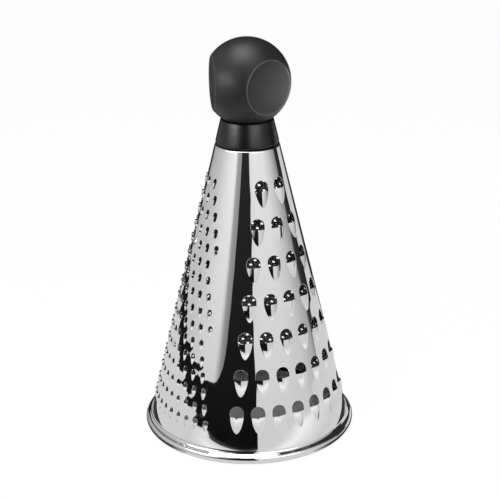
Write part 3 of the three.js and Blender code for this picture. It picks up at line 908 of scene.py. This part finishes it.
def floor_finish():
    """White floor: mostly glow outside the rim, matte under the cone and clear from below."""
    made, link, shader, node = material("white_floor")
    tree = made.node_tree
    tree.nodes.remove(shader)
    matte = node("ShaderNodeBsdfDiffuse", Color=(FLOOR_GREY, FLOOR_GREY, FLOOR_GREY, 1))
    glow = node("ShaderNodeEmission")
    clear = node("ShaderNodeBsdfTransparent")
    place = node("ShaderNodeNewGeometry")
    distance = node("ShaderNodeVectorMath", operation="LENGTH")
    link(place.outputs["Position"], distance.inputs[0])
    level = seen_level(tree)
    link(level, glow.inputs["Strength"])
    seen = math_node(tree, "GREATER_THAN", level, 0.0)
    outside = math_node(tree, "GREATER_THAN", distance.outputs["Value"], (RIM_RADIUS - BEAD_RADIUS) * MM)
    share = math_node(tree, "MULTIPLY", math_node(tree, "MULTIPLY", seen, outside), FLOOR_GLOW)

    def mixed(amount, first, second):
        """Result of a new mix of two shaders."""
        mix = node("ShaderNodeMixShader")
        for source, socket in zip((amount, first, second), mix.inputs):
            link(source, socket)
        return mix.outputs[0]

    above = mixed(share, matte.outputs[0], glow.outputs[0])
    surface = mixed(place.outputs["Backfacing"], above, clear.outputs[0])
    link(surface, tree.nodes["Material Output"].inputs["Surface"])
    return made


def floor():
    """Level floor on the ground, far wider than the picture."""
    reach = FLOOR_REACH * MM
    corners = [(-reach, -reach, 0), (reach, -reach, 0), (reach, reach, 0), (-reach, reach, 0)]
    mesh = bpy.data.meshes.new("floor")
    mesh.from_pydata(corners, [], [(0, 1, 2, 3)])
    made = bpy.data.objects.new("floor", mesh)
    bpy.context.scene.collection.objects.link(made)
    mesh.materials.append(floor_finish())


def card_finish():
    """Plain glow at the level that a card's points carry."""
    made, link, shader, node = material("card")
    nodes = made.node_tree.nodes
    nodes.remove(shader)
    level = node("ShaderNodeAttribute", attribute_name="level")
    glow = node("ShaderNodeEmission")
    link(level.outputs["Color"], glow.inputs["Color"])
    link(glow.outputs[0], nodes["Material Output"].inputs["Surface"])
    return made


def card(name, finish, columns, radius, bend=CARD_BEND, top=CARD_TOP):
    """Curved card round the axis that only reflections show. A column has its azimuth from the camera's
    side at the foot and from the bend upward, the foot's height, and its levels at foot and top."""
    table = np.array(columns, float)
    reach = (table[:, 0] - table[0, 0]) / (table[-1, 0] - table[0, 0])
    share = np.linspace(0, 1, CARD_STEPS)
    at_foot, at_top, foot, low, high = (np.interp(share, reach, column) for column in table.T)
    points, levels = [], []
    for azimuth, z, level in ((at_foot, foot, low), (at_top, bend, high), (at_top, top, high)):
        points.append(around(np.radians(VIEW_AZIMUTH + azimuth), radius, z))
        levels.append(level)
    stage_mesh(name, np.concatenate(points), np.concatenate(levels), finish)


def floor_ring(name, finish, columns, edge=None):
    """Flat arc on the floor that only reflections show. A column has its azimuth from the camera's side,
    its level, and its inner and outer radius. The level along both edges is given where it differs."""
    table = np.array(columns, float)
    azimuth = np.linspace(table[0, 0], table[-1, 0], CARD_STEPS)
    level, inner, outer = (np.interp(azimuth, table[:, 0], column) for column in table.T[1:])
    angle = np.radians(VIEW_AZIMUTH + azimuth)
    points = [around(angle, radius, FLOOR_LIFT) for radius in (outer, (inner + outer) / 2, inner)]
    beside = level if edge is None else np.full(CARD_STEPS, edge)
    stage_mesh(name, np.concatenate(points), np.concatenate([beside, level, beside]), finish)


def disc(name, finish, azimuth, distance, z, radius, levels):
    """Flat disc overhead that only reflections show, with its levels at its edge, half way in and in its
    middle."""
    angle = np.linspace(0, TURN, CARD_STEPS)
    centre = around(math.radians(VIEW_AZIMUTH + azimuth), distance, z)
    points = [centre + around(angle, share * radius, 0.0) for share in (1.0, 0.5, 0.0)]
    stage_mesh(name, np.concatenate(points), np.repeat(levels, CARD_STEPS), finish)


def stage_mesh(name, points, levels, finish):
    """Strip of three rows of points with a level each, as a stage piece that only reflections show."""
    faces = []
    for first in (0, CARD_STEPS):
        for k in range(first, first + CARD_STEPS - 1):
            faces.append((k, k + 1, k + CARD_STEPS + 1, k + CARD_STEPS))
    mesh = bpy.data.meshes.new(name)
    mesh.from_pydata((points * MM).tolist(), [], faces)
    colours = mesh.color_attributes.new("level", "FLOAT_COLOR", "POINT")
    shades = np.stack([levels, levels, levels, np.ones(len(levels))], -1)
    colours.data.foreach_set("color", shades.ravel())
    made = bpy.data.objects.new(name, mesh)
    bpy.context.scene.collection.objects.link(made)
    made.visible_camera = made.visible_diffuse = made.visible_shadow = False
    made.visible_transmission = made.visible_volume_scatter = False
    mesh.materials.append(finish)


def lamp(name, kind, azimuth, elevation, distance, height, power):
    """Lamp aimed at a height on the axis, unseen in reflections, with its azimuth from the camera's side.
    Returns its settings."""
    rise = math.radians(elevation)
    turn = math.radians(VIEW_AZIMUTH + azimuth)
    place = Vector(around(turn, distance * math.cos(rise), distance * math.sin(rise))) * MM
    data = bpy.data.lights.new(name, kind)
    data.energy = power
    made = bpy.data.objects.new(name, data)
    made.location = Vector((0, 0, height * MM)) + place
    made.rotation_euler = (-place).to_track_quat("-Z", "Y").to_euler()
    made.visible_glossy = False
    bpy.context.scene.collection.objects.link(made)
    return data


def softbox(name, size, **aim):
    """Square lamp."""
    data = lamp(name, "AREA", **aim)
    data.size = size * MM


def spot(name, distance, **aim):
    """Narrow lamp on the knob alone."""
    data = lamp(name, "SPOT", distance=distance, height=KNOB_AIM, **aim)
    data.spot_size = 2 * SPOT_SPREAD * math.atan(ball_size()[0] / distance)
    data.spot_blend = SPOT_BLEND
    data.shadow_soft_size = SPOT_SOFTNESS * distance * MM


# What stands in the studio

camera()
world()
floor()
softbox("overhead", size=500, azimuth=-20, elevation=70, distance=900, height=86, power=6)
spot("right_bounce", distance=62, azimuth=78, elevation=-10, power=0.36)
spot("left_bounce", distance=300, azimuth=-112, elevation=8, power=9.0)
card_paint = card_finish()
card("front_gap", card_paint, [
    (-152, -152, 0, 0.01, 0.02),
    (8.5, 5.5, 0, 0.004, 0.024),
], radius=318)
card("left_panel", card_paint, [
    (-142, -142, 42, 0.5, 0.25),
    (-130, -128, 42, 0.6, 0.34),
    (-108, -104, 36, 0.62, 0.52),
    (-95, -90, 28, 0.62, 0.6),
    (-60, -55, 33, 0.72, 0.9),
    (-44, -37, 38, 0.7, 1.0),
    (-40, -33, 41, 0.5, 0.9),
    (-37, -30, 46, 0.3, 0.42),
    (-32, -21, 58, 0.22, 0.36),
    (-30, -17, 75, 0.22, 0.32),
], radius=310)
card("right_panel", card_paint, [
    (8.4, 5.4, 0, 0.7, 0.82),
    (20, 20, 0, 0.7, 0.9),
    (50, 50, 0, 0.7, 0.88),
    (72, 72, 0, 0.66, 0.62),
    (85, 85, 0, 0.55, 0.42),
    (96, 96, 0, 0.45, 0.24),
    (100, 100, 0, 0.2, 0.06),
], radius=315)
card("right_gap", card_paint, [
    (99, 99, 28, 0.05, 0.02),
    (118, 118, 28, 0.01, 0.02),
], radius=318)
card("left_lamp", card_paint, [
    (-80, -80, 232, 0.6, 4.0),
    (-58, -58, 232, 0.9, 14.0),
    (-38, -38, 232, 0.9, 10.5),
], radius=305, bend=260, top=300)
card("right_lamp", card_paint, [
    (12, 12, 232, 0.8, 6.0),
    (35, 35, 232, 0.8, 9.0),
    (60, 60, 232, 0.7, 2.0),
], radius=305, bend=258, top=275)
card("back", card_paint, [
    (143, 143, 0, 0.03, 0.03),
    (216, 216, 0, 0.03, 0.03),
], radius=318)
card("back_top", card_paint, [
    (105, 105, 150, 0.03, 0.03),
    (255, 255, 150, 0.03, 0.03),
], radius=420, bend=600, top=1100)
floor_ring("shade", card_paint, [
    (38, 0.5, 60, 70),
    (50, 0.04, 60, 76),
    (75, 0.04, 60, 78),
    (310, 0.04, 60, 78),
    (322, 0.5, 60, 72),
])
floor_ring("front_glow", card_paint, [
    (-62, REFLECTED_LEVEL, 100, 262),
    (-40, 1.0, 100, 262),
    (60, 1.0, 100, 290),
    (100, REFLECTED_LEVEL, 100, 290),
], edge=REFLECTED_LEVEL)
floor_ring("front_edge", card_paint, [
    (-70, 0.04, 300, 318),
    (-45, 0.04, 255, 318),
    (-25, 0.04, 268, 318),
    (8, 0.04, 300, 318),
])
floor_ring("back_edge", card_paint, [
    (152, 0.03, 60, 318),
    (208, 0.03, 60, 318),
])
disc("ceiling", card_paint, azimuth=0, distance=0, z=CARD_TOP, radius=430, levels=(0.05, 0.05, 0.05))
disc("top_light", card_paint, azimuth=-75, distance=200, z=790, radius=430, levels=(0.8, 6.0, 6.6))

# The grater, piece by piece

# Steel of the inner face: a duller finish, and its dark colour also paints the shade inside the cone
dull_steel_painted_shade = metal("dull_steel_painted_shade", dark=(0.26, 0.26, 0.265), light=(0.38, 0.38, 0.385),
                   roughness=(0.22, 0.34), stretch=(1, 1, 0.05))
zinc = metal("zinc_plate", dark=(0.60, 0.61, 0.63), light=(0.74, 0.75, 0.76), roughness=(0.24, 0.4))
brass = metal("turned_brass", dark=(0.66, 0.50, 0.22), light=(0.76, 0.62, 0.32),
              roughness=(0.2, 0.32), stretch=(0.1, 0.1, 4))
soft = moulded("soft_touch_black", dark=0.008, light=0.012, roughness=0.44, shine=0.36,
               grain=4200.0, depth=0.06)
# Lighter copy of the soft black for the flats' rounded edges: its lighter colour paints a highlight line
# along them
soft_painted_highlight = moulded("soft_touch_painted_highlight", dark=0.03, light=0.042, roughness=0.34, shine=0.6,
                    grain=4200.0, depth=0.06)
grained = moulded("grained_black", dark=0.002, light=0.004, roughness=0.26, shine=0.44,
                  grain=1500.0, depth=0.35)
core_grey = moulded("core_grey", dark=0.04, light=0.06, roughness=0.45, shine=0.5,
                    grain=2200.0, depth=0.15)
piece(grater_cone(), "grater_cone", "steel", steel_material(), dull_steel_painted_shade)
piece(collar_mesh(), "collar", "collar", grained)
piece(knob_mesh(), "knob_cover", "soft_cover", soft, soft_painted_highlight)
piece(plug_mesh(), "clamp_plug", "core", core_grey)
piece(washer_mesh("flat_washer"), "flat_washer", "zinc", zinc)
piece(washer_mesh("spring_washer", SPRING_SPLIT), "spring_washer", "zinc", zinc)
carry("knob_core", core_grey)
carry("threaded_insert", brass)
carry("fixing_screw", zinc)

bpy.context.scene.view_settings.view_transform = "Standard"
